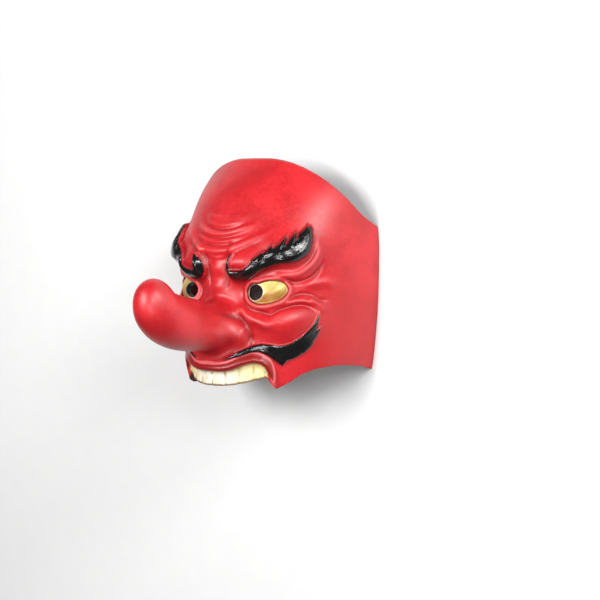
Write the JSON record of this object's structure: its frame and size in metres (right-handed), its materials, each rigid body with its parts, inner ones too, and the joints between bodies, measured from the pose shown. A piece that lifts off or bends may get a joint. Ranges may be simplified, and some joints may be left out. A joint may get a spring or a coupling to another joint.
{
  "type": "long-nosed half mask",
  "caption": "Hollow long-nosed half mask moulded in one piece of rubber, with open eye holes, thick brows and a bared upper row of teeth, lying on its ear-side edges.",
  "frame": {"origin": "bottom centre of the mask's bounding box: z 0 is the plane of the two ear-side edges the mask lies on, x 0 its middle plane, y 0 half way up the face", "axes": "+Z out of the face, the way the nose points and away from what the mask lies on; +Y up the face towards the forehead; +X towards the wearer's left ear"},
  "size_m": [0.1664, 0.174, 0.1762],
  "materials": {
    "moulded_rubber": "satin"
  },
  "bodies": {
    "root": {"mask": "moulded_rubber"}
  },
  "joints": []
}
